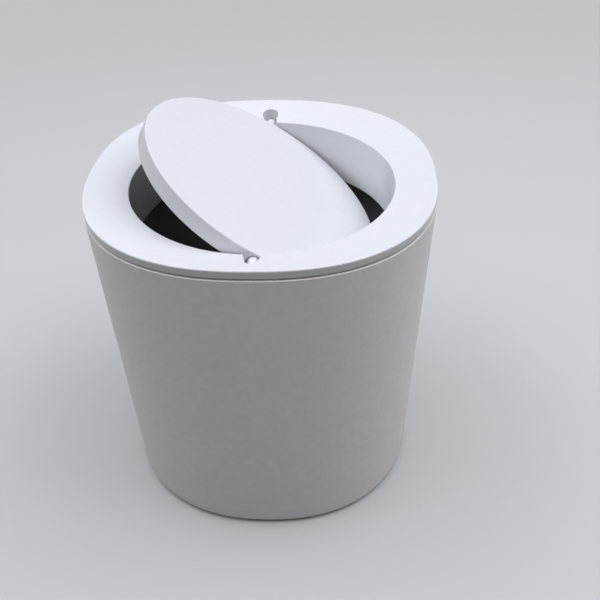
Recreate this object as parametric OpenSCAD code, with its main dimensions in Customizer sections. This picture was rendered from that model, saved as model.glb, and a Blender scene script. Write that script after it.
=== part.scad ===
// Countertop trash can with a swing lid.
// Rounded-square outer shell, lift-out bucket, lift-off lid frame with a round chute,
// and a two-part swing flap on two stub pins that sit in open-topped slots.
// Frame: +Z up, front is -Y, origin at the centre of the base on the ground. Millimetres.

/* [Overall] */
// Height of the can with its lid on
height = 184; // [150:1:240]
// Width across the flats at the top
top_w = 180; // [160:1:220]
// Width across the flats just above the base
base_w = 170; // [150:1:200]
// Squareness of the top outline, where 2 is a circle
top_square = 2.35; // [2:0.05:3]
// Squareness of the base outline
base_square = 2.25; // [2:0.05:3]

/* [Outer shell] */
// Wall thickness of the outer shell
shell_wall = 2.4; // [1.8:0.1:3.2]
// Radius of the edge around the base
base_edge_r = 4; // [2:0.5:10]
// Height of the foot ring under the base
foot_h = 0.8; // [0.5:0.1:2]

/* [Lid frame] */
// Height of the lid's outer side
rim_h = 3.8; // [2.5:0.1:6]
// Height of the shadow groove between lid and shell
groove_h = 1.3; // [0.6:0.1:2]
// Diameter of the round opening
opening_d = 138.2; // [110:0.2:140]
// How far the opening's edge lies below the outer edge
dish_drop = 5.3; // [2:0.1:7]
// Depth of the chute below the opening's edge
chute_depth = 31.3; // [15:0.1:45]
// Wall thickness of lid frame and chute
lid_wall = 1.8; // [1.4:0.1:2.4]

/* [Swing flap] */
// Tilt of the flap at rest, right side down
flap_tilt = 32; // [-75:1:75]
// Gap all round between flap and opening
flap_gap = 0.9; // [0.6:0.1:1.5]
// Depth of the flap over its side wall
flap_depth = 8.7; // [8.4:0.1:10]
// Depth of the pivot axis below the flap's top face
axis_depth = 4.4; // [4.2:0.1:4.8]
// Step from the opening's edge down to the closed flap's face
flap_step = 0.4; // [0:0.1:1]
// Wall thickness of the flap's cover
flap_wall = 1.8; // [1.4:0.1:2]
// Thickness of the flap's base plate
base_wall = 1.6; // [1.4:0.1:1.7]

/* [Pivots] */
// Diameter of the stub pins
pin_d = 5.2; // [4.6:0.1:5.4]
// Running clearance of a pin in its seat, on the radius
pin_clear = 0.05; // [0.02:0.01:0.1]
// Distance from the middle of the can to a pin's outer end
pin_reach = 78.6; // [75:0.2:79.4]
// Width of the front slot
front_slot_w = 5.8; // [5.6:0.1:6.4]
// Width of the front slot's flared mouth
front_mouth_w = 8.6; // [7:0.1:10]
// Diameter of the rear pocket
rear_pocket_d = 9.3; // [8:0.1:10]
// Width of the rear pocket's neck
rear_neck_w = 7.4; // [6:0.1:8]
// Distance from the middle of the can to the slots' outer ends
slot_reach = 80.9; // [79:0.1:82]

/* [Bucket] */
// Wall thickness of the bucket
bucket_wall = 1.6; // [1.2:0.1:2.4]
// Height of the bucket's rim above the ground
bucket_rim_z = 166; // [120:1:168]
// Gap between the bucket's rim and the shell
bucket_gap = 2.6; // [1.5:0.1:6]
// Draft of the bucket's wall from floor to rim
bucket_draft = 4.5; // [2:0.1:8]
// Radius between the bucket's wall and floor
bucket_corner_r = 10; // [4:1:20]

/* [Hidden] */
$fn = 96;
outline_steps = 120;
arc_steps = 5;

top_r = top_w / 2;
base_r = base_w / 2;
shell_top_z = height - rim_h - groove_h;
shell_edge_r = 0.6;
floor_bottom_z = foot_h;
floor_z = floor_bottom_z + shell_wall;
foot_outer = base_r - base_edge_r - 2;
foot_inner = foot_outer - 4;

open_r = opening_d / 2;
open_z = height - dish_drop;
chute_bottom_z = open_z - chute_depth;
plate_t = 2.3;
rim_draft = 0.6;
pad_inset = 1.7;
pad_w = 8;
rib_clear = 0.5;
rib_w = 1.7;
rib_drop = 6;
web_t = 1.2;

flap_r = open_r - flap_gap;
axis_z = open_z - flap_step - axis_depth;
flap_top = axis_depth;
flap_bottom = axis_depth - flap_depth;
base_plate_top = flap_bottom + base_wall;
pin_r = pin_d / 2;
seat_r = pin_r + pin_clear;
arch_gap = 0.45;
block_root = open_r + lid_wall * 0.6;
block_w = 14;
block_wall = 2.4;
block_floor_t = 3;
boss_len = 11;
boss_w = 9;
boss_top = 1.6;
pin_tip_r = 0.9;
pin_root = flap_r - 13;
flare_len = 8;
post_r = 1.5;
post_circle = 44;
socket_r = 3.2;

// Rounded-square outline

// Half-width of a rounded square with flats at distance a, in the direction ang
function outline_r(a, square, ang) =
    a / pow(pow(abs(cos(ang)), square) + pow(abs(sin(ang)), square), 1 / square);

// Half-width and squareness of the outer wall, which both change evenly with height
function rise(z) = (z - base_edge_r - foot_h) / (shell_top_z - base_edge_r - foot_h);
function wall_r(z) = base_r + (top_r - 0.2 - base_r) * rise(z);
function wall_square(z) = base_square + (top_square - base_square) * rise(z);

// One level of a loft as [flat distance, squareness, height]
function level(z, inset) = [wall_r(z) - inset, wall_square(z), z];

// Points of one level
function level_points(l, n) =
    [for (i = [0:n - 1]) let (ang = 360 * i / n, r = outline_r(l[0], l[1], ang))
        [r * cos(ang), r * sin(ang), l[2]]];

// Side faces from each of the first steps levels to the next, two triangles for each point
function side_faces(rows, steps, n) =
    [for (k = [0:steps - 1], i = [0:n - 1])
        let (j = (i + 1) % n, a = k * n, b = ((k + 1) % rows) * n)
            each [[a + i, b + j, a + j], [a + i, b + i, b + j]]];

// Solid through a stack of levels, lowest first
module loft(levels, n = outline_steps) {
    rows = len(levels);
    polyhedron(
        points = [for (l = levels) each level_points(l, n)],
        faces = concat([[for (i = [0:n - 1]) i]], side_faces(rows, rows - 1, n),
                       [[for (i = [n - 1:-1:0]) (rows - 1) * n + i]]),
        convexity = 4);
}

// Ring whose cross-section is a closed loop of levels, outside going up first
module loft_ring(levels, n = outline_steps) {
    rows = len(levels);
    polyhedron(
        points = [for (l = levels) each level_points(l, n)],
        faces = side_faces(rows, rows, n),
        convexity = 8);
}

// Quarter round at the foot of a wall: levels from the flat bottom up to the wall
function foot_round(z, inset, r) =
    [for (k = [0:arc_steps]) let (a = 90 * k / arc_steps)
        let (l = level(z + r, inset)) [l[0] - r * (1 - sin(a)), l[1], z + r * (1 - cos(a))]];

function reversed(list) = [for (i = [len(list) - 1:-1:0]) list[i]];

// Outer shell

// Cup made by one loft: up the outside, over the top edge, down the inside to the floor
module shell_cup() {
    inside = foot_round(floor_z, shell_wall, base_edge_r);
    loft(concat(
        foot_round(floor_bottom_z, 0, base_edge_r),
        [level(shell_top_z * 0.5, 0),
         level(shell_top_z - shell_edge_r, 0),
         level(shell_top_z - shell_edge_r * 0.3, shell_edge_r * 0.3),
         level(shell_top_z, shell_edge_r),
         level(shell_top_z, shell_wall - 0.2),
         level(shell_top_z - 0.2, shell_wall),
         level(shell_top_z * 0.5, shell_wall)],
        reversed(inside)));
}

// Ring of the foot and the ribs that stiffen the recess inside it
module foot() {
    difference() {
        loft([[foot_outer, base_square, 0], [foot_outer, base_square, floor_bottom_z + 0.4]], 96);
        translate([0, 0, -1])
            loft([[foot_inner, base_square, 0], [foot_inner, base_square, floor_bottom_z + 1]], 96);
    }
    for (a = [0:45:315])
        rotate([0, 0, a])
            translate([12, -0.6, foot_h * 0.4])
                cube([foot_inner - 11, 1.2, foot_h * 0.6 + 0.4]);
    translate([0, 0, foot_h * 0.4])
        cylinder(h = foot_h * 0.6 + 0.4, r = 12.5);
}

module outer_body() {
    color([0.86, 0.87, 0.89])
    union() {
        shell_cup();
        foot();
    }
}

// Bucket

bucket_rim_r = wall_r(bucket_rim_z) - shell_wall - bucket_gap;
bucket_lip = 3.4;
bucket_top_r = bucket_rim_r - bucket_lip;
bucket_foot_r = bucket_top_r - bucket_draft;

// Level of the bucket's wall at a height, which tapers evenly from rim to floor
function bucket_level(z, inset) =
    [bucket_foot_r + bucket_draft * (z - floor_z) / (bucket_rim_z - floor_z) - inset,
     wall_square(z), z];

function bucket_foot(z, inset, r) =
    [for (k = [0:arc_steps]) let (a = 90 * k / arc_steps)
        let (l = bucket_level(z + r, inset)) [l[0] - r * (1 - sin(a)), l[1], z + r * (1 - cos(a))]];

// Cup with a rim that turns outwards and down, made by one loft
module inner_bucket() {
    turn_down = 5;
    rim_sq = wall_square(bucket_rim_z);
    color([0.13, 0.14, 0.15])
    loft(concat(
        bucket_foot(floor_z, 0, bucket_corner_r),
        [bucket_level(bucket_rim_z - bucket_wall - 1, 0),
         [bucket_top_r + 1, rim_sq, bucket_rim_z - bucket_wall],
         [bucket_rim_r - bucket_wall - 0.6, rim_sq, bucket_rim_z - bucket_wall],
         [bucket_rim_r - bucket_wall, rim_sq, bucket_rim_z - bucket_wall - 0.6],
         [bucket_rim_r - bucket_wall, rim_sq, bucket_rim_z - turn_down],
         [bucket_rim_r, rim_sq, bucket_rim_z - turn_down],
         [bucket_rim_r, rim_sq, bucket_rim_z - 1.2],
         [bucket_rim_r - 0.4, rim_sq, bucket_rim_z - 0.4],
         [bucket_rim_r - 1.2, rim_sq, bucket_rim_z],
         [bucket_top_r - bucket_wall + 1.2, rim_sq, bucket_rim_z],
         bucket_level(bucket_rim_z - 1.2, bucket_wall)],
        reversed(bucket_foot(floor_z + bucket_wall + 0.4, bucket_wall, bucket_corner_r))), 96);
}

// Lid frame

// Dished plate from the outer rim to the opening, with the rib that drops into the shell
module lid_plate() {
    rib_out = shell_wall + rib_clear;
    sq = top_square;
    join_r = open_r + lid_wall * 0.5;
    join_z = open_z + dish_drop * (join_r - open_r) / (top_r - open_r);
    loft_ring([
        [top_r - rib_out, sq, shell_top_z + groove_h],
        [top_r - rim_draft, sq, shell_top_z + groove_h],
        [top_r, sq, height - 0.6],
        [top_r - 0.18, sq, height - 0.18],
        [top_r - 0.6, sq, height - 0.05],
        [join_r, 2, join_z],
        [join_r, 2, join_z - plate_t],
        [top_r - rib_out - rib_w - 1, sq, height - 1 - plate_t],
        [top_r - rib_out - rib_w, sq, height - 2 - plate_t],
        [top_r - rib_out - rib_w, sq, shell_top_z - rib_drop],
        [top_r - rib_out - 0.5, sq, shell_top_z - rib_drop],
        [top_r - rib_out, sq, shell_top_z - rib_drop + 1]]);
}

// Eight pads in the shadow groove that carry the lid on the shell's top edge
module seat_pads() {
    inner = top_r - shell_wall - rib_clear - 0.4;
    for (ang = [22.5:45:337.5]) {
        from = outline_r(inner, top_square, ang);
        to = outline_r(top_r - pad_inset, top_square, ang);
        rotate([0, 0, ang]) translate([from, -pad_w / 2, shell_top_z])
            cube([to - from, pad_w, groove_h + 0.4]);
    }
}

// Chute wall under the opening, with a small round on its upper and lower edges
module chute() {
    rotate_extrude()
        polygon([
            [open_r, chute_bottom_z + 0.5], [open_r + 0.5, chute_bottom_z],
            [open_r + lid_wall - 0.4, chute_bottom_z], [open_r + lid_wall, chute_bottom_z + 0.4],
            [open_r + lid_wall, open_z - 0.6], [open_r + lid_wall - 0.5, open_z + 0.15],
            [open_r + 0.5, open_z + 0.1], [open_r + 0.15, open_z - 0.1], [open_r, open_z - 0.45]]);
}

// Stiffening webs under the plate, between the chute and the rib
module webs() {
    rib_mid = top_r - shell_wall - rib_clear - rib_w / 2;
    for (ang = [22.5:45:337.5]) {
        reach = outline_r(rib_mid, top_square, ang);
        rotate([90, 0, ang])
            translate([0, 0, -web_t / 2])
                linear_extrude(web_t)
                    polygon([[open_r + 1, open_z - 9], [open_r + 1, open_z - 1],
                             [reach - 2.5, height - 2.2], [reach, height - 3.4],
                             [reach, shell_top_z - rib_drop + 1.5]]);
    }
}

// Moulded block that carries one pivot slot, running up into the sloping plate
module pivot_block() {
    low = axis_z - seat_r - block_floor_t;
    end = slot_reach + block_wall;
    end_z = open_z + dish_drop * (end - open_r) / (top_r - open_r);
    rotate([90, 0, 0])
        translate([0, 0, -block_w / 2])
            linear_extrude(block_w)
                polygon([[block_root, low], [end, low], [end, end_z - 1], [block_root, open_z - 1]]);
}

// Half-round seat for a stub pin, from the opening to the slot's end
module pin_seat(reach) {
    translate([open_r - 2, 0, axis_z])
        rotate([0, 90, 0])
            cylinder(h = reach - open_r + 2, r = seat_r, $fn = 64);
}

// Plan of the front slot: flared mouth, then a straight slot with a round end
module front_slot_plan() {
    half = front_slot_w / 2;
    mouth = front_mouth_w / 2;
    polygon([[open_r - 3, -mouth - 0.6], [open_r + 0.9, -mouth], [open_r + flare_len, -half],
             [slot_reach - half, -half], [slot_reach - half, half],
             [open_r + flare_len, half], [open_r + 0.9, mouth], [open_r - 3, mouth + 0.6]]);
    translate([slot_reach - half, 0])
        circle(r = half, $fn = 48);
}

// Plan of the rear keyhole: neck, then a round pocket
module rear_slot_plan() {
    half = rear_neck_w / 2;
    r = rear_pocket_d / 2;
    polygon([[open_r - 3, -half - 1], [open_r + 0.6, -half - 0.3], [open_r + 1.6, -half],
             [slot_reach - r, -half], [slot_reach - r, half],
             [open_r + 1.6, half], [open_r + 0.6, half + 0.3], [open_r - 3, half + 1]]);
    translate([slot_reach - r, 0])
        circle(r = r, $fn = 64);
}

module lid_frame() {
    color([0.9, 0.91, 0.93])
    difference() {
        union() {
            lid_plate();
            chute();
            webs();
            seat_pads();
            for (side = [-90, 90])
                rotate([0, 0, side]) pivot_block();
        }
        rotate([0, 0, -90]) {
            translate([0, 0, axis_z]) linear_extrude(20) front_slot_plan();
            pin_seat(slot_reach - 1);
        }
        rotate([0, 0, 90]) {
            translate([0, 0, axis_z]) linear_extrude(20) rear_slot_plan();
            pin_seat(slot_reach - 1);
        }
    }
}

// Swing flap, drawn about its pivot axis along Y

// Puts a flap piece on its axis in the can, tilted as at rest
module on_axis() {
    translate([0, 0, axis_z])
        rotate([0, flap_tilt, 0])
            children();
}

// Round arch in the side wall, open at the bottom, that clears a stub pin
module pin_arch() {
    arch_r = pin_r + arch_gap;
    rotate([0, 90, 0])
        cylinder(h = 6, r = arch_r, center = true, $fn = 48);
    translate([-3, -arch_r, flap_bottom - 1])
        cube([6, 2 * arch_r, -flap_bottom + 1]);
}

// Groove under the cover's plate that clears the stub pin as far in as its root
module pin_groove() {
    translate([pin_root - 1, 0, 0])
        rotate([0, 90, 0])
            cylinder(h = flap_r - flap_wall - pin_root, r = pin_r + 0.3, $fn = 48);
}

module flap_cover() {
    edge = 0.5;
    color([0.9, 0.91, 0.93])
    on_axis()
    difference() {
        union() {
            rotate_extrude($fn = 160)
                polygon([
                    [0, flap_top], [flap_r - edge, flap_top], [flap_r - edge * 0.3, flap_top - edge * 0.3],
                    [flap_r, flap_top - edge], [flap_r, flap_bottom + 0.3], [flap_r - 0.3, flap_bottom],
                    [flap_r - flap_wall, flap_bottom], [flap_r - flap_wall, flap_top - flap_wall],
                    [0, flap_top - flap_wall]]);
            for (a = [45:90:315])
                rotate([0, 0, a]) translate([post_circle, 0, base_plate_top])
                    cylinder(h = flap_top - flap_wall - base_plate_top + 0.2, r = socket_r, $fn = 32);
            for (x = [-24, 24])
                translate([x - 0.6, -56, base_plate_top + 2])
                    cube([1.2, 112, flap_top - flap_wall - base_plate_top - 1.8]);
        }
        for (a = [45:90:315])
            rotate([0, 0, a]) translate([post_circle, 0, base_plate_top - 1])
                cylinder(h = flap_top - flap_wall - base_plate_top, r = post_r + 0.02, $fn = 32);
        for (side = [-90, 90])
            rotate([0, 0, side]) {
                translate([flap_r - flap_wall, 0, 0]) pin_arch();
                pin_groove();
            }
    }
}

module flap_base() {
    plate_r = flap_r - flap_wall - 0.2;
    color([0.88, 0.89, 0.91])
    on_axis()
    difference() {
        union() {
            rotate_extrude($fn = 160)
                polygon([[0, flap_bottom], [plate_r - 0.4, flap_bottom], [plate_r, flap_bottom + 0.4],
                         [plate_r, base_plate_top], [0, base_plate_top]]);
            for (a = [45:90:315])
                rotate([0, 0, a]) translate([post_circle, 0, base_plate_top - 0.2])
                    cylinder(h = flap_top - flap_wall - base_plate_top - 1.2, r = post_r, $fn = 32);
            for (side = [-90, 90])
                rotate([0, 0, side])
                    translate([pin_root - 1, -boss_w / 2, base_plate_top - 0.2])
                        cube([boss_len, boss_w, boss_top - base_plate_top + 0.2]);
        }
        for (side = [-90, 90])
            rotate([0, 0, side])
                translate([pin_root, 0, 0]) rotate([0, 90, 0])
                    cylinder(h = 20, r = pin_r, $fn = 48);
    }
}

// Stub pin along +X from its root in the flap to its rounded tip in the slot
module stub_pin() {
    len = pin_reach - pin_root;
    tip = [for (a = [0:22.5:90])
        [pin_r - pin_tip_r * (1 - cos(a)), len - pin_tip_r * (1 - sin(a))]];
    color([0.93, 0.94, 0.95])
    translate([pin_root, 0, 0])
        rotate([0, 90, 0])
            rotate_extrude($fn = 48)
                polygon(concat([[0, 0], [pin_r - 0.4, 0], [pin_r, 0.4]], tip, [[0, len]]));
}

module pivot_pin_front() {
    on_axis() rotate([0, 0, -90]) stub_pin();
}

module pivot_pin_rear() {
    on_axis() rotate([0, 0, 90]) stub_pin();
}

outer_body();
inner_bucket();
lid_frame();
flap_cover();
flap_base();
pivot_pin_front();
pivot_pin_rear();
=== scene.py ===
import math

import bmesh
import bpy
import numpy as np
from mathutils import Matrix, Vector


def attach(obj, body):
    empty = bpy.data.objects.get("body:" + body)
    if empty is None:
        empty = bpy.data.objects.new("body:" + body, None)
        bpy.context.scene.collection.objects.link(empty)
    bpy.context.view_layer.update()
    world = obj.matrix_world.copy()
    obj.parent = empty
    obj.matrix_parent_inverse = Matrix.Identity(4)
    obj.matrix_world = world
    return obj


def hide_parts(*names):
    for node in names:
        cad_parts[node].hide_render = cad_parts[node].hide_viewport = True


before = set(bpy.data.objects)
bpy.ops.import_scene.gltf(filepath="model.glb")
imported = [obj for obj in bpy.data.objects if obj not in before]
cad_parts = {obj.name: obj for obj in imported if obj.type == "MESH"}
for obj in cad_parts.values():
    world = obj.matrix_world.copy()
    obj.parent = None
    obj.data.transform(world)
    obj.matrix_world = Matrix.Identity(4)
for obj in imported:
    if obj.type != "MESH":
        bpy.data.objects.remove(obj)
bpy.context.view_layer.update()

# Sizes in millimetres, those of the CAD model
HEIGHT = 184.0
TOP_R = 90.0
BASE_R = 85.0
TOP_SQUARE = 2.35
BASE_SQUARE = 2.25
SHELL_WALL = 2.4
BASE_EDGE_R = 4.0
FOOT_H = 0.8
FOOT_W = 4.0
HUB_R = 12.5
OPEN_R = 69.1
OPEN_Z = HEIGHT - 5.3
CHUTE_BOTTOM_Z = OPEN_Z - 31.3
LID_WALL = 1.8
PLATE_T = 2.3
PAD_INSET = 1.7
PAD_HALF = 4.0
RIB_OUT = SHELL_WALL + 0.5
RIB_W = 1.7
RIB_DROP = 6.0
WEB_HALF = 0.6
FLAP_TILT = 32.0
FLAP_R = OPEN_R - 0.9
FLAP_TOP = 4.4
FLAP_BOTTOM = FLAP_TOP - 8.7
FLAP_WALL = 1.8
BASE_WALL = 1.6
BOSS_TOP = 1.6
BOSS_HALF = 4.5
AXIS_Z = OPEN_Z - 0.4 - FLAP_TOP
PIN_R = 2.6
PIN_REACH = 78.6
PIN_TIP_R = 0.9
PIN_ROOT = FLAP_R - 13.0
SLOT_REACH = 80.9
SEAT_GAP = 0.05
BLOCK_HALF = 7.0
FLOOR_Z = FOOT_H + SHELL_WALL
FOOT_OUTER = BASE_R - BASE_EDGE_R - 2
FOOT_INNER = FOOT_OUTER - FOOT_W
BUCKET_WALL = 1.6
BUCKET_FLOOR = 2.0
BUCKET_GAP = 2.6
BUCKET_TAPER = 4.5
BUCKET_RIM_W = 3.4
BUCKET_RIM_H = 5.0
BUCKET_RIM_R = 1.2
BUCKET_RIM_Z = 166.0
BUCKET_CORNER_R = 10.0

# Half a millimetre or less from the CAD model, for the look of the rim, groove and arches
RIM_H = 4.3
GROOVE_H = 1.1
RIM_TOP_IN = 0.15
RIM_LOW_IN = 0.3
RIM_EDGE_R = 0.75
SHELL_TOP_IN = 0.05
SHELL_EDGE_R = 0.3
ARCH_R = PIN_R + 0.6
SHELL_TOP_Z = HEIGHT - RIM_H - GROOVE_H

# Squareness of a circle, points round an outline, and metres in a millimetre
ROUND = 2
STEPS = 288
MM = 0.001


def linked(name, data):
    """New object in the scene."""
    obj = bpy.data.objects.new(name, data)
    bpy.context.scene.collection.objects.link(obj)
    return obj


# Mesh building: every skin is a stack of rows of points, in millimetres

def reach(flat, square, ang):
    """Distance of a rounded square's outline from the middle, at an angle in radians."""
    return flat / (np.abs(np.cos(ang)) ** square + np.abs(np.sin(ang)) ** square) ** (1 / square)


def row(flat, square, z, steps=STEPS):
    """Outline of a rounded square at a height, with its flats at a distance from the middle."""
    ang = np.arange(steps) * 2 * math.pi / steps
    r = reach(flat, square, ang)
    return np.column_stack([r * np.cos(ang), r * np.sin(ang), np.full(steps, z)])


def between(a, b, count):
    """Rows that lie evenly between two rows."""
    return [a + (b - a) * k / (count + 1) for k in range(1, count + 1)]


def arc(x, z, r, start, end, count):
    """Points of an arc about a centre, in a cross-section or in plan, with angles in degrees."""
    angles = [math.radians(start + (end - start) * k / count) for k in range(count + 1)]
    return [(x + r * math.cos(a), z + r * math.sin(a)) for a in angles]


def round_rows(flat, square, z, r, start, end, count):
    """Rows of a rounded edge, whose arc has its centre at a distance and a height."""
    return [row(x, square, h) for x, h in arc(flat, z, r, start, end, count)]


def skin(name, rows, loop=False):
    """Object through the rows, with a flat cap at each end or closed into a loop."""
    count, steps = len(rows), len(rows[0])
    verts = np.concatenate(rows) * MM
    faces = []
    for k in range(count if loop else count - 1):
        a, b = k * steps, (k + 1) % count * steps
        faces += [(a + i, a + (i + 1) % steps, b + (i + 1) % steps, b + i) for i in range(steps)]
    if not loop:
        faces.append(tuple(reversed(range(steps))))
        faces.append(tuple(range((count - 1) * steps, count * steps)))
    mesh = bpy.data.meshes.new(name)
    mesh.from_pydata(verts.tolist(), [], faces)
    mesh.update()
    return linked(name, mesh)


def lathe(name, profile, steps=STEPS):
    """Round solid about Z, through (radius, height) pairs."""
    return skin(name, [row(r, ROUND, z, steps) for r, z in profile])


def turned(obj, matrix):
    """Moves an object's mesh by a matrix."""
    obj.data.transform(matrix)
    obj.data.update()
    return obj


def spin_z(degrees):
    return Matrix.Rotation(math.radians(degrees), 4, "Z")


def block(name, low, high, bevel, turn):
    """Box between two corners with rounded edges, turned about Z by an angle in degrees."""
    bm = bmesh.new()
    bmesh.ops.create_cube(bm, size=1)
    low, high = Vector(low), Vector(high)
    size = high - low
    for v in bm.verts:
        v.co = Vector([low[i] + (v.co[i] + 0.5) * size[i] for i in range(3)]) * MM
    if bevel:
        bmesh.ops.bevel(bm, geom=bm.edges[:], offset=bevel * MM, segments=2, affect="EDGES", profile=0.5)
    bm.transform(spin_z(turn))
    mesh = bpy.data.meshes.new(name)
    bm.to_mesh(mesh)
    bm.free()
    return linked(name, mesh)


def combine(obj, others, operation):
    """Boolean of an object with others, applied to its mesh; the others are removed."""
    for other in others:
        mod = obj.modifiers.new("cut", "BOOLEAN")
        mod.operation = operation
        mod.solver = "EXACT"
        mod.object = other
        bpy.context.view_layer.update()
        graph = bpy.context.evaluated_depsgraph_get()
        mesh = bpy.data.meshes.new_from_object(obj.evaluated_get(graph))
        obj.modifiers.clear()
        old = obj.data
        obj.data = mesh
        bpy.data.meshes.remove(old)
        bpy.data.objects.remove(other)
    return obj


def join(obj, others):
    """Adds the meshes of the others to an object as they are."""
    bm = bmesh.new()
    bm.from_mesh(obj.data)
    for other in others:
        bm.from_mesh(other.data)
        bpy.data.objects.remove(other)
    bm.to_mesh(obj.data)
    bm.free()
    return obj


def smooth(obj, angle=32):
    """Smooth shading with sharp creases, weighted so that flat faces stay flat."""
    mesh = obj.data
    mesh.polygons.foreach_set("use_smooth", [True] * len(mesh.polygons))
    mesh.set_sharp_from_angle(angle=math.radians(angle))
    mod = obj.modifiers.new("weighted", "WEIGHTED_NORMAL")
    mod.keep_sharp = True
    mod.weight = 60
    return obj


# Outer shell

def rise(z):
    """Share of the wall's height, 0 above the rounded base edge and 1 at the top."""
    return (z - BASE_EDGE_R - FOOT_H) / (SHELL_TOP_Z - BASE_EDGE_R - FOOT_H)


def wall_r(z):
    return BASE_R + (TOP_R - SHELL_TOP_IN - BASE_R) * rise(z)


def wall_square(z):
    return BASE_SQUARE + (TOP_SQUARE - BASE_SQUARE) * rise(z)


def wall_row(z, inset=0.0):
    return row(wall_r(z) - inset, wall_square(z), z)


def corner_rows(flat, z, r, count):
    """Quarter round from a flat bottom up to a wall."""
    return round_rows(flat - r, wall_square(z + r), z + r, r, -90, 0, count)


def foot_rows(z, inset):
    return corner_rows(wall_r(z + BASE_EDGE_R) - inset, z, BASE_EDGE_R, 12)


def make_shell():
    edge, lip_r, foot_r = SHELL_EDGE_R, 0.4, 0.25
    wall_z = FOOT_H + BASE_EDGE_R
    outside = foot_rows(FOOT_H, 0)
    walls = [wall_row(z) for z in np.linspace(wall_z, SHELL_TOP_Z - edge, 26)[1:]]
    top_r = wall_r(SHELL_TOP_Z)
    top = round_rows(top_r - edge, TOP_SQUARE, SHELL_TOP_Z - edge, edge, 0, 90, 6)[1:]
    lip_in = top_r - SHELL_WALL + lip_r
    lip = [wall_row(SHELL_TOP_Z, SHELL_WALL - lip_r)]
    lip += round_rows(lip_in, TOP_SQUARE, SHELL_TOP_Z - lip_r, lip_r, 90, 180, 4)[1:]
    inside = np.linspace(SHELL_TOP_Z - lip_r - 0.2, FLOOR_Z + BASE_EDGE_R, 20)
    inner = [wall_row(z, SHELL_WALL) for z in inside]
    bottom = list(reversed(foot_rows(FLOOR_Z, SHELL_WALL)))[1:]
    shell = skin("shell_outer", outside + walls + top + lip + inner + bottom)
    sunk_z, rib_low_z = FOOT_H + 0.4, FOOT_H * 0.4
    ring = [(FOOT_OUTER, sunk_z)]
    ring += arc(FOOT_OUTER - foot_r, foot_r, foot_r, 0, -90, 3)
    ring += arc(FOOT_INNER + foot_r, foot_r, foot_r, -90, -180, 3)
    ring += [(FOOT_INNER, sunk_z)]
    foot = skin("foot_ring", [row(r, BASE_SQUARE, z) for r, z in reversed(ring)], loop=True)
    rib_low = (HUB_R - 0.5, -WEB_HALF, rib_low_z)
    rib_high = (FOOT_INNER + 1, WEB_HALF, sunk_z)
    ribs = [block("foot_rib", rib_low, rib_high, 0.2, a) for a in range(0, 360, 45)]
    hub = lathe("foot_hub", [(HUB_R - 0.2, rib_low_z), (HUB_R, 0.5), (HUB_R, sunk_z)])
    return smooth(join(shell, [foot] + ribs + [hub]))


# Bucket

def make_bucket():
    rim_r = wall_r(BUCKET_RIM_Z) - SHELL_WALL - BUCKET_GAP
    top_r = rim_r - BUCKET_RIM_W
    foot_r = top_r - BUCKET_TAPER
    sq = wall_square(BUCKET_RIM_Z)

    def side_r(z):
        return foot_r + BUCKET_TAPER * (z - FLOOR_Z) / (BUCKET_RIM_Z - FLOOR_Z)

    def level(z, inset=0.0):
        return row(side_r(z) - inset, wall_square(z), z)

    def corner(z, inset):
        return corner_rows(side_r(z + BUCKET_CORNER_R) - inset, z, BUCKET_CORNER_R, 14)

    neck_r, skirt_edge, rim_r_in = 1.0, 0.2, rim_r - BUCKET_WALL
    neck_z = BUCKET_RIM_Z - BUCKET_WALL - neck_r
    rows = corner(FLOOR_Z, 0)
    rows += [level(z) for z in np.linspace(FLOOR_Z + BUCKET_CORNER_R, neck_z, 18)[1:]]
    rows += round_rows(top_r + neck_r, sq, neck_z, neck_r, 180, 90, 4)[1:]
    rim = [(rim_r_in - 0.6, -BUCKET_WALL), (rim_r_in, -BUCKET_WALL - 0.6)]
    rim += [(rim_r_in, skirt_edge - BUCKET_RIM_H), (rim_r_in + skirt_edge, -BUCKET_RIM_H)]
    rim += [(rim_r - skirt_edge, -BUCKET_RIM_H), (rim_r, skirt_edge - BUCKET_RIM_H)]
    rim += arc(rim_r - BUCKET_RIM_R, -BUCKET_RIM_R, BUCKET_RIM_R, 0, 90, 6)
    rim += arc(top_r - BUCKET_WALL + BUCKET_RIM_R, -BUCKET_RIM_R, BUCKET_RIM_R, 90, 180, 6)[:-1]
    rows += [row(r, sq, BUCKET_RIM_Z + z) for r, z in rim]
    floor_z = FLOOR_Z + BUCKET_FLOOR
    inside = np.linspace(BUCKET_RIM_Z - BUCKET_RIM_R, floor_z + BUCKET_CORNER_R, 18)
    rows += [level(z, BUCKET_WALL) for z in inside]
    rows += list(reversed(corner(floor_z, BUCKET_WALL)))[1:]
    return smooth(skin("bucket", rows))


# Lid frame, with the directions of its pads and pins in degrees

OPEN_EDGE_R = 0.7
RING_IN = OPEN_R + OPEN_EDGE_R
RING_OUT = TOP_R - RIM_TOP_IN - RIM_EDGE_R
RING_OUT_Z = HEIGHT - 0.05
PAD_ANGLES = np.arange(22.5, 360, 45)
FRONT, REAR = -90, 90


def ring_height(x, y):
    """Height of the lid's dished top at a place in plan."""
    out = reach(RING_OUT, TOP_SQUARE, math.atan2(y, x))
    return OPEN_Z + (RING_OUT_Z - OPEN_Z) * (math.hypot(x, y) - RING_IN) / (out - RING_IN)


def offset_outline(points, distance):
    """Plan outline moved outwards along its normals; the outline runs counterclockwise."""
    p = np.array(points)
    ahead, back = np.roll(p, -1, axis=0) - p, p - np.roll(p, 1, axis=0)
    n1 = np.stack([ahead[:, 1], -ahead[:, 0]], axis=1) / np.linalg.norm(ahead, axis=1)[:, None]
    n2 = np.stack([back[:, 1], -back[:, 0]], axis=1) / np.linalg.norm(back, axis=1)[:, None]
    n = n1 + n2
    n /= np.maximum(np.linalg.norm(n, axis=1)[:, None], 1e-9)
    n /= np.clip((n * n1).sum(axis=1), 0.5, 1)[:, None]
    return p + n * distance


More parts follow.
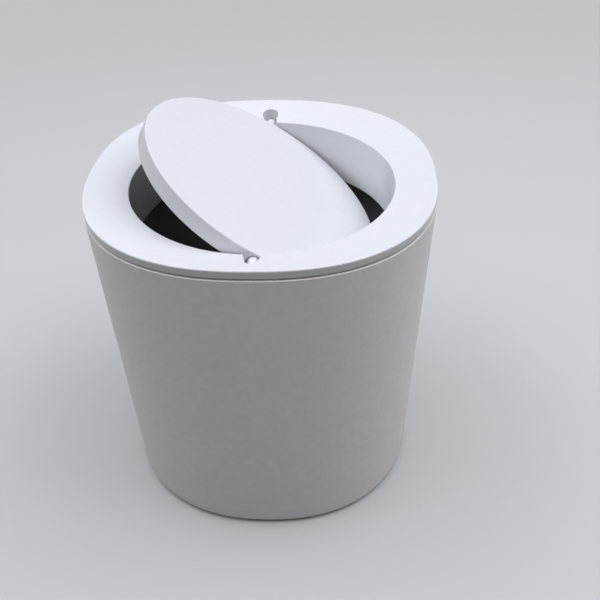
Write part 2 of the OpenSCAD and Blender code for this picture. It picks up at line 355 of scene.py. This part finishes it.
def slot_cutter(name, outline, turn, fillet=0.25):
    """Solid that cuts an open slot down to the pivot axis and rounds its upper edge."""
    a = math.radians(turn)
    rot = np.array([[math.cos(a), -math.sin(a)], [math.sin(a), math.cos(a)]])
    rows = []

    def add(offset, depth=None, z=None):
        p = offset_outline(outline, offset) @ rot.T
        if z is None:
            heights = np.array([ring_height(x, y) - depth for x, y in p])
        else:
            heights = np.full(len(p), z)
        rows.append(np.column_stack([p, heights]))

    add(0, z=AXIS_Z)
    add(0, depth=fillet)
    for k in range(1, 6):
        t = math.pi / 2 * k / 5
        add(fillet * (1 - math.cos(t)), depth=fillet * (1 - math.sin(t)))
    add(fillet + 0.25, depth=-0.02)
    add(fillet + 0.3, depth=-2)
    return skin(name, rows)


def dense(points, step=0.4):
    """Outline with its long sides divided, so that it can follow the dished top."""
    out = []
    for k, p in enumerate(points):
        q = points[(k + 1) % len(points)]
        parts = max(1, round(math.dist(p, q) / step))
        out += [(p[0] + (q[0] - p[0]) * j / parts, p[1] + (q[1] - p[1]) * j / parts) for j in range(parts)]
    return out


def front_slot():
    """Plain slot with a round end, whose mouth widens towards the opening."""
    half, mouth, flare, mouth_x = 2.9, 4.3, 8, OPEN_R + 0.9
    end = SLOT_REACH - half
    pts = [(OPEN_R - 3, -mouth - 0.6), (mouth_x, -mouth), (OPEN_R + flare, -half)]
    pts += arc(end, 0, half, -90, 90, 16)
    pts += [(OPEN_R + flare, half), (mouth_x, mouth), (OPEN_R - 3, mouth + 0.6)]
    return dense(pts)


def rear_slot():
    """Round pocket with a narrower neck towards the opening."""
    half, r, neck_x, mouth_x = 3.7, 4.65, OPEN_R + 1.6, OPEN_R + 0.6
    centre = SLOT_REACH - r
    lean = math.degrees(math.asin(half / r))
    pts = [(OPEN_R - 3, -half - 1), (mouth_x, -half - 0.3), (neck_x, -half)]
    pts += arc(centre, 0, r, -180 + lean, 180 - lean, 36)
    pts += [(neck_x, half), (mouth_x, half + 0.3), (OPEN_R - 3, half + 1)]
    return dense(pts)


def bar(name, profile, turn, steps=64):
    """Round bar from (radius, distance) pairs, lying along a direction in plan."""
    obj = turned(lathe(name, profile, steps), Matrix.Rotation(math.radians(90), 4, "Y"))
    return turned(obj, spin_z(turn))


def seat_cutter(name, turn):
    """Round bar that leaves a half-round seat for a stub pin."""
    r = PIN_R + SEAT_GAP
    seat = bar(name, [(r, OPEN_R - 2), (r, SLOT_REACH - 1)], turn)
    return turned(seat, Matrix.Translation((0, 0, AXIS_Z * MM)))


def rim_rows(groove_top, rib_out_r):
    """From the rib out under the rim, up its side and over its rounded edge."""
    sq, low_r, low_edge = TOP_SQUARE, TOP_R - RIM_LOW_IN, 0.25
    rows = [row(rib_out_r, sq, groove_top - 0.2), row(rib_out_r + 0.2, sq, groove_top)]
    rows += round_rows(low_r - low_edge, sq, groove_top + low_edge, low_edge, -90, -2, 4)
    rows += round_rows(RING_OUT, sq, RING_OUT_Z - RIM_EDGE_R, RIM_EDGE_R, -2, 84, 9)
    return rows


def chute_rows(under):
    """Over the opening's edge, down the chute, round its lower edge and up to the plate."""
    slope, tip_in, tip_out, fillet = 14, 0.5, 0.4, 1
    out_r, top, low = OPEN_R + LID_WALL, OPEN_Z - OPEN_EDGE_R, CHUTE_BOTTOM_Z
    rows = round_rows(RING_IN, ROUND, top, OPEN_EDGE_R, 90 + slope, 180, 7)
    rows += [row(OPEN_R, ROUND, z) for z in np.linspace(top, low + tip_in, 22)[1:]]
    rows += round_rows(OPEN_R + tip_in, ROUND, low + tip_in, tip_in, 180, 270, 5)[1:]
    rows += round_rows(out_r - tip_out, ROUND, low + tip_out, tip_out, 270, 360, 4)
    rows += [row(out_r, ROUND, z) for z in np.linspace(low + 1, under - fillet - 0.2, 8)]
    rows += round_rows(out_r + fillet, ROUND, under - fillet, fillet, 180, 100, 5)[1:]
    return rows


def rib_rows(rib_in_r, rib_out_r, rib_end):
    """From under the plate down the locating rib and round its lower edge."""
    sq, fillet, inner_edge, outer_edge = TOP_SQUARE, 1, 0.3, 0.5
    rows = round_rows(rib_in_r - fillet, sq, HEIGHT - 2 - PLATE_T, fillet, 75, 0, 5)
    rows += round_rows(rib_in_r + inner_edge, sq, rib_end + inner_edge, inner_edge, 180, 270, 3)
    rows += round_rows(rib_out_r - outer_edge, sq, rib_end + outer_edge, outer_edge, 270, 360, 4)
    return rows


def make_pads(groove_top, rib_out_r):
    """Eight blocks in the groove, on which the lid rests."""
    sq, inner, outer, top = TOP_SQUARE, rib_out_r - 0.4, TOP_R - PAD_INSET, groove_top + 0.4
    pads = skin("pads", [row(inner, sq, SHELL_TOP_Z), row(outer, sq, SHELL_TOP_Z),
                         row(outer, sq, top), row(inner, sq, top)], loop=True)
    low = (TOP_R - 10, -PAD_HALF, SHELL_TOP_Z - 1)
    high = (TOP_R + 14, PAD_HALF, groove_top + 2)
    boxes = [block("pad_box", low, high, 0, a) for a in PAD_ANGLES]
    return combine(pads, [join(boxes[0], boxes[1:])], "INTERSECT")


def slab(name, side, half, turn):
    """Solid with a side outline of (distance, height) pairs, clockwise, turned in plan."""
    rows = [np.array([(x, y, z) for x, z in side]) for y in (-half, half)]
    return turned(skin(name, rows), spin_z(turn))


def make_webs(rib_end):
    """Eight thin webs under the plate, from the chute to the rib."""
    webs = []
    for a in PAD_ANGLES:
        out = reach(TOP_R - RIB_OUT - RIB_W / 2, TOP_SQUARE, math.radians(a))
        side = [(OPEN_R + 1, OPEN_Z - 9), (OPEN_R + 1, OPEN_Z - 1), (out - 2.5, HEIGHT - 2.2),
                (out, HEIGHT - 3.4), (out, rib_end + 1.5)]
        webs.append(slab("web", side, WEB_HALF, a))
    return webs


def make_pivot_blocks():
    """Blocks under the plate that hold the two pin seats."""
    root, end, low = OPEN_R + LID_WALL / 2, SLOT_REACH + 2.4, AXIS_Z - PIN_R - 3.05
    side = [(root, low), (root, OPEN_Z - 1), (end, ring_height(0, end) - 1), (end, low)]
    return [slab("pivot_block", side, BLOCK_HALF, a) for a in (FRONT, REAR)]


def make_lid():
    sq = TOP_SQUARE
    groove_top = SHELL_TOP_Z + GROOVE_H
    rib_out_r = TOP_R - RIB_OUT
    rib_in_r = rib_out_r - RIB_W
    rib_end = SHELL_TOP_Z - RIB_DROP
    under = OPEN_Z - PLATE_T

    outer, inner = row(RING_OUT, sq, RING_OUT_Z), row(RING_IN, ROUND, OPEN_Z)
    low_in = row(OPEN_R + LID_WALL + 1.2, ROUND, under + 0.05)
    low_out = row(rib_in_r - 1, sq, HEIGHT - 1 - PLATE_T)
    rows = rim_rows(groove_top, rib_out_r)
    rows += [outer] + between(outer, inner, 22) + [inner]
    rows += chute_rows(under)
    rows += [low_in] + between(low_in, low_out, 10) + [low_out]
    rows += rib_rows(rib_in_r, rib_out_r, rib_end)
    lid = skin("lid_ring", rows, loop=True)

    adds = [make_pads(groove_top, rib_out_r)] + make_webs(rib_end) + make_pivot_blocks()
    combine(lid, adds, "UNION")
    cuts = [slot_cutter("front_cut", front_slot(), FRONT), slot_cutter("rear_cut", rear_slot(), REAR)]
    cuts += [seat_cutter("front_seat", FRONT), seat_cutter("rear_seat", REAR)]
    combine(lid, cuts, "DIFFERENCE")
    return smooth(lid, 28)


# Swing flap, drawn about its pivot axis along Y and then set on it

def on_axis(obj):
    tilt = Matrix.Rotation(math.radians(FLAP_TILT), 4, "Y")
    return turned(obj, Matrix.Translation((0, 0, AXIS_Z * MM)) @ tilt)


def arch_cutter(turn):
    """Round arch through the flap's side wall, open at the bottom."""
    side = arc(0, 0, ARCH_R, 0, 180, 32)
    side += [(-ARCH_R, FLAP_BOTTOM - 1), (ARCH_R, FLAP_BOTTOM - 1)]
    rows = [np.array([(x, y, z) for y, z in side]) for x in (FLAP_R - FLAP_WALL - 3, FLAP_R + 3)]
    return turned(skin("arch", rows), spin_z(turn))


def groove_cutter(turn):
    """Bar that clears the cover's underside over a pin."""
    return bar("groove", [(PIN_R + 0.3, PIN_ROOT - 1), (ARCH_R, FLAP_R - FLAP_WALL - 1)], turn, 48)


def make_cover():
    edge, low_edge = 0.55, 0.3
    inner = FLAP_R - FLAP_WALL
    under = FLAP_TOP - FLAP_WALL
    profile = [(6, under), (30, under), (inner - 1, under), (inner, under - 1), (inner, under - 3)]
    profile += [(inner, FLAP_BOTTOM + 0.2), (inner + 0.2, FLAP_BOTTOM)]
    profile += arc(FLAP_R - low_edge, FLAP_BOTTOM + low_edge, low_edge, -90, 0, 4)
    profile += [(FLAP_R, z) for z in np.linspace(FLAP_BOTTOM + 0.6, FLAP_TOP - edge - 0.2, 6)]
    profile += arc(FLAP_R - edge, FLAP_TOP - edge, edge, 0, 90, 6)
    profile += [(FLAP_R - edge - 0.8, FLAP_TOP), (55, FLAP_TOP), (30, FLAP_TOP), (6, FLAP_TOP)]
    cover = lathe("flap_top", profile)
    cuts = [arch_cutter(FRONT), arch_cutter(REAR), groove_cutter(FRONT), groove_cutter(REAR)]
    combine(cover, cuts, "DIFFERENCE")
    return smooth(on_axis(cover), 30)


def make_base():
    """Plate with a boss for each pin and a tongue that fills the leg of each arch."""
    plate_r, edge = FLAP_R - FLAP_WALL - 0.2, 0.4
    top = FLAP_BOTTOM + BASE_WALL
    profile = [(30, FLAP_BOTTOM), (55, FLAP_BOTTOM)]
    profile += arc(plate_r - edge, FLAP_BOTTOM + edge, edge, -90, 0, 4)
    profile += [(plate_r, top), (30, top)]
    base = lathe("flap_underside", profile)
    half = PIN_R + 0.15
    boss_low, boss_high = (PIN_ROOT - 1, -BOSS_HALF, top - 0.2), (PIN_ROOT + 10, BOSS_HALF, BOSS_TOP)
    tongue_low, tongue_high = (PIN_ROOT, -half, FLAP_BOTTOM + 0.3), (FLAP_R - 0.25, half, 0.2)
    for a in (FRONT, REAR):
        boss = block("pin_boss", boss_low, boss_high, 0.2, a)
        tongue = block("pin_tongue", tongue_low, tongue_high, 0.2, a)
        join(base, [boss, tongue])
    return smooth(on_axis(base))


def make_pin(name, turn):
    end, tip = PIN_REACH, PIN_TIP_R
    profile = [(PIN_R - 0.4, PIN_ROOT), (PIN_R, PIN_ROOT + 0.4), (PIN_R, PIN_ROOT + 8), (PIN_R, end - 1.2)]
    profile += arc(PIN_R - tip, end - tip, tip, 0, 90, 7)
    profile += [(0.3, end)]
    return smooth(on_axis(bar(name, profile, turn)))


# Materials

CLOUD_SCALE = 260
POLISH_SCALE = 90


def plastic(name, colour, rough, grain_scale, grain_depth, tone=0.02, gloss_change=0.05, specular=0.5):
    """Moulded plastic: slight change of tone and gloss, and a fine grain."""
    mat = bpy.data.materials.new(name)
    mat.use_nodes = True
    nodes, links = mat.node_tree.nodes, mat.node_tree.links
    shader = nodes["Principled BSDF"]
    shader.inputs["Specular IOR Level"].default_value = specular
    where = nodes.new("ShaderNodeTexCoord")

    def noise(scale, detail=3.0, roughness=0.5):
        n = nodes.new("ShaderNodeTexNoise")
        n.inputs["Scale"].default_value = scale
        n.inputs["Detail"].default_value = detail
        n.inputs["Roughness"].default_value = roughness
        links.new(where.outputs["Object"], n.inputs["Vector"])
        return n

    cloud = noise(CLOUD_SCALE, 4, 0.6)
    ramp = nodes.new("ShaderNodeValToRGB")
    ramp.color_ramp.elements[0].position = 0.35
    ramp.color_ramp.elements[1].position = 0.65
    ramp.color_ramp.elements[0].color = (*[c * (1 - tone) for c in colour], 1)
    ramp.color_ramp.elements[1].color = (*colour, 1)
    links.new(cloud.outputs["Fac"], ramp.inputs["Fac"])
    links.new(ramp.outputs["Color"], shader.inputs["Base Color"])

    polish = noise(POLISH_SCALE, 5)
    spread = nodes.new("ShaderNodeMapRange")
    spread.inputs["From Min"].default_value = 0.3
    spread.inputs["From Max"].default_value = 0.7
    spread.inputs["To Min"].default_value = rough - gloss_change
    spread.inputs["To Max"].default_value = rough + gloss_change
    links.new(polish.outputs["Fac"], spread.inputs["Value"])
    links.new(spread.outputs["Result"], shader.inputs["Roughness"])

    grain = noise(grain_scale, 2)
    bump = nodes.new("ShaderNodeBump")
    bump.inputs["Strength"].default_value = 1.0
    bump.inputs["Distance"].default_value = grain_depth * MM
    links.new(grain.outputs["Fac"], bump.inputs["Height"])
    links.new(bump.outputs["Normal"], shader.inputs["Normal"])
    return mat


# Shell and lid are one white plastic: the shell's lighter base colour is painted light, which makes its
# sides lighter than the lamps alone make them
SHELL_WHITE = plastic("shell_white", (0.895, 0.886, 0.886), 0.42, 900, 0.1, tone=0.042, specular=0.35)
LID_WHITE = plastic("lid_white", (0.747, 0.762, 0.778), 0.17, 700, 0.012, specular=0.3)
BUCKET_DARK = plastic("bucket_dark", (0.33, 0.337, 0.345), 0.42, 900, 0.02)
PIN_WHITE = plastic("pin_white", (0.787, 0.80, 0.812), 0.22, 900, 0.006)


def dress(obj, material, body, slot, *nodes):
    """Gives a piece its material, its body and the CAD nodes that it stands for."""
    obj.data.materials.clear()
    obj.data.materials.append(material)
    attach(obj, body)
    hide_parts(*nodes)


dress(make_shell(), SHELL_WHITE, "shell", "shell_white", "outer_body")
dress(make_bucket(), BUCKET_DARK, "bucket", "bucket_dark", "inner_bucket")
dress(make_lid(), LID_WHITE, "lid", "lid_white", "lid_frame")
dress(make_cover(), LID_WHITE, "flap", "lid_white", "flap_cover")
dress(make_base(), LID_WHITE, "flap", "lid_white", "flap_base")
dress(make_pin("pin_front", FRONT), PIN_WHITE, "flap", "pin_white", "pivot_pin_front")
dress(make_pin("pin_rear", REAR), PIN_WHITE, "flap", "pin_white", "pivot_pin_rear")


# Floor and background

BACKDROP = (0.56, 0.565, 0.575, 1)
FLOOR_SHOWN = (0.60, 0.60, 0.595, 1)
FLOOR_BOUNCE = (0.16, 0.16, 0.16, 1)
FLOOR_HALF = 9.0
FLOOR_CELLS = 24
FADE_START = 0.35
FADE_END = 1.5


def seen_rays(tree):
    """Factor that is 1 for camera, glossy and transmission rays, and 0 for the light on the object."""
    path = tree.nodes.new("ShaderNodeLightPath")
    total = path.outputs["Is Camera Ray"]
    for kind in ("Is Glossy Ray", "Is Transmission Ray"):
        either = tree.nodes.new("ShaderNodeMath")
        either.operation = "MAXIMUM"
        tree.links.new(total, either.inputs[0])
        tree.links.new(path.outputs[kind], either.inputs[1])
        total = either.outputs[0]
    return total


def floor_material():
    """Pale and matt near the object, and as bright as the background further out."""
    mat = bpy.data.materials.new("floor_pale")
    mat.use_nodes = True
    nodes, links = mat.node_tree.nodes, mat.node_tree.links
    shader = nodes["Principled BSDF"]
    shader.inputs["Roughness"].default_value = 0.85
    shader.inputs["Specular IOR Level"].default_value = 0.1
    seen = seen_rays(mat.node_tree)
    mix = nodes.new("ShaderNodeMixRGB")
    mix.inputs["Color1"].default_value = FLOOR_BOUNCE
    mix.inputs["Color2"].default_value = FLOOR_SHOWN
    links.new(seen, mix.inputs["Fac"])
    links.new(mix.outputs["Color"], shader.inputs["Base Color"])

    where = nodes.new("ShaderNodeTexCoord")
    away = nodes.new("ShaderNodeVectorMath")
    away.operation = "LENGTH"
    links.new(where.outputs["Object"], away.inputs[0])
    far = nodes.new("ShaderNodeMapRange")
    far.interpolation_type = "SMOOTHSTEP"
    far.inputs["From Min"].default_value = FADE_START
    far.inputs["From Max"].default_value = FADE_END
    links.new(away.outputs["Value"], far.inputs["Value"])
    fade = nodes.new("ShaderNodeMath")
    fade.operation = "MULTIPLY"
    links.new(far.outputs["Result"], fade.inputs[0])
    links.new(seen, fade.inputs[1])
    glow = nodes.new("ShaderNodeEmission")
    glow.inputs["Color"].default_value = BACKDROP
    blend = nodes.new("ShaderNodeMixShader")
    links.new(fade.outputs[0], blend.inputs["Fac"])
    links.new(shader.outputs["BSDF"], blend.inputs[1])
    links.new(glow.outputs["Emission"], blend.inputs[2])
    links.new(blend.outputs["Shader"], nodes["Material Output"].inputs["Surface"])
    return mat


def make_floor():
    """Square floor under the object, which belongs to the scene and not to the part."""
    side = FLOOR_CELLS + 1
    grid = np.linspace(-FLOOR_HALF, FLOOR_HALF, side)
    verts = [(x, y, 0.0) for y in grid for x in grid]
    corners = [j * side + i for j in range(FLOOR_CELLS) for i in range(FLOOR_CELLS)]
    mesh = bpy.data.meshes.new("floor")
    mesh.from_pydata(verts, [], [(k, k + 1, k + side + 1, k + side) for k in corners])
    mesh.materials.append(floor_material())
    obj = linked("floor", mesh)


make_floor()


# Light

def area(name, place, target, size, watts, colour):
    """Square lamp at a place, turned towards a target, in metres and watts."""
    light = bpy.data.lights.new(name, "AREA")
    light.shape = "SQUARE"
    light.size = size
    light.energy = watts
    light.color = colour
    obj = linked(name, light)
    obj.location = place
    obj.rotation_euler = (Vector(target) - Vector(place)).to_track_quat("-Z", "Y").to_euler()


COOL = (0.88, 0.907, 1)
WARM = (1, 0.92, 0.805)
WORLD_STRENGTH = 0.147
LAMP_SIZE = 1.2
OVERHEAD_SIZE = 2.6

area("overhead", (0, 0, 1.9), (0, 0, 0), OVERHEAD_SIZE, 37.4, COOL)
area("top_right", (1.1, 0, 1.6), (0, 0, 0.1), LAMP_SIZE, 9.8, COOL)
area("top_left", (-1.1, 0, 1.6), (0, 0, 0.1), LAMP_SIZE, 8.05, COOL)
area("right", (2.2, 0, 0.7), (0, 0, 0.1), LAMP_SIZE, 4.45, WARM)


def make_world():
    world = bpy.data.worlds.new("studio")
    bpy.context.scene.world = world
    world.use_nodes = True
    tree = world.node_tree
    light = tree.nodes["Background"]
    light.inputs["Color"].default_value = (*WARM, 1)
    light.inputs["Strength"].default_value = WORLD_STRENGTH
    shown = tree.nodes.new("ShaderNodeBackground")
    shown.inputs["Color"].default_value = BACKDROP
    blend = tree.nodes.new("ShaderNodeMixShader")
    tree.links.new(seen_rays(tree), blend.inputs["Fac"])
    tree.links.new(light.outputs["Background"], blend.inputs[1])
    tree.links.new(shown.outputs["Background"], blend.inputs[2])
    tree.links.new(blend.outputs["Shader"], tree.nodes["World Output"].inputs["Surface"])


make_world()


# Camera at the photograph's place

CAMERA_PLACE = (0.03150, -0.34722, 0.37051)
CAMERA_YAW = math.radians(2.16)
CAMERA_PITCH = math.radians(38.076)
CAMERA_ROLL = -0.02


def make_camera():
    yaw, pitch, roll = CAMERA_YAW, CAMERA_PITCH, CAMERA_ROLL
    forward = Vector((-math.sin(yaw) * math.cos(pitch), math.cos(yaw) * math.cos(pitch), -math.sin(pitch)))
    right = Vector((math.cos(yaw), math.sin(yaw), 0))
    up = right.cross(forward)
    side = math.cos(roll) * right + math.sin(roll) * up
    top = -math.sin(roll) * right + math.cos(roll) * up
    data = bpy.data.cameras.new("camera")
    data.sensor_width = 36
    data.lens = 45
    obj = linked("camera", data)
    basis = Matrix((side, top, -forward)).transposed()
    obj.matrix_world = Matrix.Translation(CAMERA_PLACE) @ basis.to_4x4()
    bpy.context.scene.camera = obj


make_camera()
bpy.context.scene.view_settings.view_transform = "Standard"
